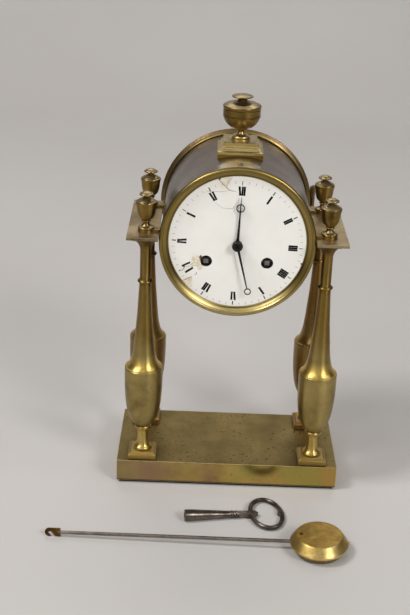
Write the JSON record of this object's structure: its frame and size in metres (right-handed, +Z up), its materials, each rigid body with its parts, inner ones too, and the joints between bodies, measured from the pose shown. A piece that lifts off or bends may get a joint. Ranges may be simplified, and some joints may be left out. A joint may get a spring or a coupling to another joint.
{
  "type": "portico clock",
  "caption": "Brass mantel clock: a drum with an enamel dial on turned columns over a flat base, with urn finials, a striking movement, and its pendulum and winding key lying in front.",
  "frame": {"origin": "On the floor under the middle of the base, at the underside of the base board.", "axes": "+Z up, +X to the right as seen from the front, -Y towards the viewer (the dial faces -Y)."},
  "size_m": [0.2693, 0.2628, 0.3654],
  "materials": {
    "plinth_brass": "aged, satin",
    "column_brass": "aged, satin",
    "urn_brass": "aged, satin",
    "platform_brass": "dull, pinkish brown",
    "drum_brass": "dark brown patina",
    "bezel_brass": "polished and worn",
    "rear_brass": "aged, satin",
    "dial_enamel": "white enamel, cracked",
    "hand_steel": "dark blued steel",
    "movement_brass": "fine grained",
    "movement_steel": "grey steel",
    "fastener_steel": "dark steel",
    "bell_bronze": "bell bronze",
    "base_wood": "dark stained",
    "pendulum_steel": "dull steel",
    "bob_brass": "polished, spotted",
    "key_steel": "worn dark steel"
  },
  "bodies": {
    "case": {"base_plinth": "plinth_brass", "base_board": "base_wood", "tie_bolts": "fastener_steel", "column_front_left": "column_brass", "column_front_right": "column_brass", "column_rear_left": "column_brass", "column_rear_right": "column_brass", "column_feet": "column_brass", "column_abaci": "column_brass", "side_platform_left": "platform_brass", "side_platform_right": "platform_brass", "drum_lugs": "urn_brass", "urn_front_left": "urn_brass", "urn_front_right": "urn_brass", "urn_rear_left": "urn_brass", "urn_rear_right": "urn_brass", "drum_shell": "drum_brass", "front_bezel": "bezel_brass", "rear_ring": "rear_brass", "hinge_pin": "fastener_steel", "case_screws": "fastener_steel", "top_pedestal": "urn_brass", "top_urn": "urn_brass", "dial": "dial_enamel", "front_plate": "movement_brass", "back_plate": "movement_brass", "plate_pillars": "movement_brass", "movement_straps": "movement_brass", "winding_clicks": "movement_steel", "suspension_cock": "movement_brass", "bell": "bell_bronze", "bell_stand": "movement_steel"},
    "door": {"rear_door": "rear_brass"},
    "minute_hand_work": {"minute_hand": "hand_steel", "hand_collet": "hand_steel", "cannon_pinion": "movement_steel"},
    "hour_hand_work": {"hour_hand": "hand_steel", "hour_wheel": "movement_brass"},
    "minute_wheel_work": {"minute_wheel": "movement_brass"},
    "going_great": {"going_barrel": "movement_brass", "going_mainspring": "movement_steel"},
    "going_winder": {"going_arbor": "movement_steel"},
    "intermediate": {"intermediate_wheel": "movement_brass"},
    "centre": {"centre_wheel": "movement_brass"},
    "third": {"third_wheel": "movement_brass"},
    "escape": {"escape_wheel": "movement_brass"},
    "anchor_work": {"anchor": "movement_steel", "crutch": "movement_brass"},
    "silk_adjuster": {"silk_arbor": "movement_steel"},
    "strike_great": {"strike_barrel": "movement_brass", "strike_mainspring": "movement_steel"},
    "strike_winder": {"strike_arbor": "movement_steel"},
    "strike_second": {"strike_second_wheel": "movement_brass", "count_wheel": "movement_brass"},
    "pin": {"pin_wheel": "movement_brass"},
    "fly_work": {"fly": "movement_brass"},
    "hammer_work": {"hammer": "movement_steel"},
    "pendulum": {"pendulum_rod": "pendulum_steel", "pendulum_bob": "bob_brass"},
    "key": {"winding_key": "key_steel"}
  },
  "joints": [
    {"name": "door_hinge", "type": "hinge", "parent": "case", "child": "door", "pos_m": [0.0753, 0.0809, 0.2449], "axis": [0, 0, -1], "range_deg": [0, 110]},
    {"name": "minute_turn", "type": "hinge", "parent": "case", "child": "minute_hand_work", "pos_m": [0, 0, 0.2435], "axis": [0, 1, 0], "continuous": true},
    {"name": "hour_turn", "type": "hinge", "parent": "case", "child": "hour_hand_work", "pos_m": [0, 0, 0.2435], "axis": [0, 1, 0], "continuous": true},
    {"name": "minute_wheel_turn", "type": "hinge", "parent": "case", "child": "minute_wheel_work", "pos_m": [0.0099, 0, 0.2534], "axis": [0, 1, 0], "continuous": true},
    {"name": "escape_turn", "type": "hinge", "parent": "case", "child": "escape", "pos_m": [0, 0, 0.2705], "axis": [0, 1, 0], "continuous": true},
    {"name": "third_turn", "type": "hinge", "parent": "case", "child": "third", "pos_m": [0.012, 0, 0.2576], "axis": [0, 1, 0], "continuous": true},
    {"name": "centre_turn", "type": "hinge", "parent": "case", "child": "centre", "pos_m": [0, 0, 0.2435], "axis": [0, 1, 0], "continuous": true},
    {"name": "intermediate_turn", "type": "hinge", "parent": "case", "child": "intermediate", "pos_m": [0, 0, 0.2226], "axis": [0, 1, 0], "continuous": true},
    {"name": "going_barrel_turn", "type": "hinge", "parent": "case", "child": "going_great", "pos_m": [0.0273, 0, 0.2265], "axis": [0, 1, 0], "continuous": true},
    {"name": "going_wind", "type": "hinge", "parent": "case", "child": "going_winder", "pos_m": [0.0273, 0, 0.2265], "axis": [0, 1, 0], "continuous": true},
    {"name": "fly_turn", "type": "hinge", "parent": "case", "child": "fly_work", "pos_m": [-0.0173, 0, 0.2812], "axis": [0, 1, 0], "continuous": true},
    {"name": "pin_turn", "type": "hinge", "parent": "case", "child": "pin", "pos_m": [-0.0245, 0, 0.2687], "axis": [0, 1, 0], "continuous": true},
    {"name": "strike_second_turn", "type": "hinge", "parent": "case", "child": "strike_second", "pos_m": [-0.0235, 0, 0.2538], "axis": [0, 1, 0], "continuous": true},
    {"name": "strike_barrel_turn", "type": "hinge", "parent": "case", "child": "strike_great", "pos_m": [-0.0273, 0, 0.2265], "axis": [0, 1, 0], "continuous": true},
    {"name": "strike_wind", "type": "hinge", "parent": "case", "child": "strike_winder", "pos_m": [-0.0273, 0, 0.2265], "axis": [0, 1, 0], "continuous": true},
    {"name": "anchor_swing", "type": "hinge", "parent": "case", "child": "anchor_work", "pos_m": [0, 0, 0.2881], "axis": [0, 1, 0], "range_deg": [-2.5, 2.5]},
    {"name": "hammer_lift", "type": "hinge", "parent": "case", "child": "hammer_work", "pos_m": [-0.042, 0, 0.2515], "axis": [0, 1, 0], "range_deg": [-14, 0]},
    {"name": "silk_turn", "type": "hinge", "parent": "case", "child": "silk_adjuster", "pos_m": [0, 0, 0.2965], "axis": [0, 1, 0], "continuous": true},
    {"name": "pendulum_lift", "type": "slide", "parent": "case", "child": "pendulum", "axis": [0, 0, 1], "range_m": [0, 0.1]},
    {"name": "key_lift", "type": "slide", "parent": "case", "child": "key", "axis": [0, 0, 1], "range_m": [0, 0.1]}
  ],
  "couplings": [
    {"joint": "hour_turn", "follows": "minute_turn", "ratio": 0.083333},
    {"joint": "minute_wheel_turn", "follows": "minute_turn", "ratio": -0.33333},
    {"joint": "third_turn", "follows": "escape_turn", "ratio": -0.1},
    {"joint": "centre_turn", "follows": "escape_turn", "ratio": 0.01},
    {"joint": "intermediate_turn", "follows": "escape_turn", "ratio": -0.0015152},
    {"joint": "going_barrel_turn", "follows": "escape_turn", "ratio": 0.00022727},
    {"joint": "pin_turn", "follows": "fly_turn", "ratio": -0.125},
    {"joint": "strike_second_turn", "follows": "fly_turn", "ratio": 0.016667},
    {"joint": "strike_barrel_turn", "follows": "fly_turn", "ratio": -0.0025}
  ]
}
